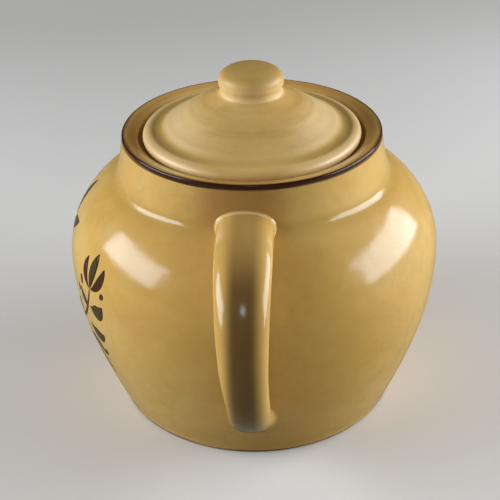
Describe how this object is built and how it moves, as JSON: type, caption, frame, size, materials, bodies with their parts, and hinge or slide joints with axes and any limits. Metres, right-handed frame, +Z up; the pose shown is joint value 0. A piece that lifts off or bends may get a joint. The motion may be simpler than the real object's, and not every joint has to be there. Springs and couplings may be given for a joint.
{
  "type": "teapot",
  "caption": "Stoneware teapot with a round belly, short neck, strap handle, spout and a drop-in lid with a knob, for brewing and pouring tea.",
  "frame": {"origin": "centre of the foot ring's underside, on the pot's axis", "axes": "+Z up, +X towards the handle, -X towards the spout"},
  "size_m": [0.2326, 0.1672, 0.1585],
  "materials": {
    "pot_glaze": "glossy honey-tan glaze over stoneware, with fine speckle and crazing",
    "handle_glaze": "glossy honey-tan glaze over stoneware, with fine speckle and crazing",
    "spout_glaze": "glossy honey-tan glaze over stoneware, with fine speckle and crazing",
    "lid_glaze": "glossy honey-tan glaze over stoneware, with fine speckle and crazing",
    "knob_glaze": "glossy honey-tan glaze over stoneware, with fine speckle and crazing",
    "brown_slip": "glossy dark brown slip, on the rim and the painted sprig",
    "green_slip": "glossy dark green slip, in the painted leaves",
    "bare_clay": "matte unglazed stoneware foot"
  },
  "bodies": {
    "pot": {"pot_body": "pot_glaze", "handle": "handle_glaze", "spout": "spout_glaze"},
    "lid": {"lid": "lid_glaze", "lid_knob": "knob_glaze"}
  },
  "joints": [
    {"name": "lid_lift", "type": "slide", "parent": "pot", "child": "lid", "axis": [0, 0, 1], "range_m": [0, 0.06]}
  ]
}
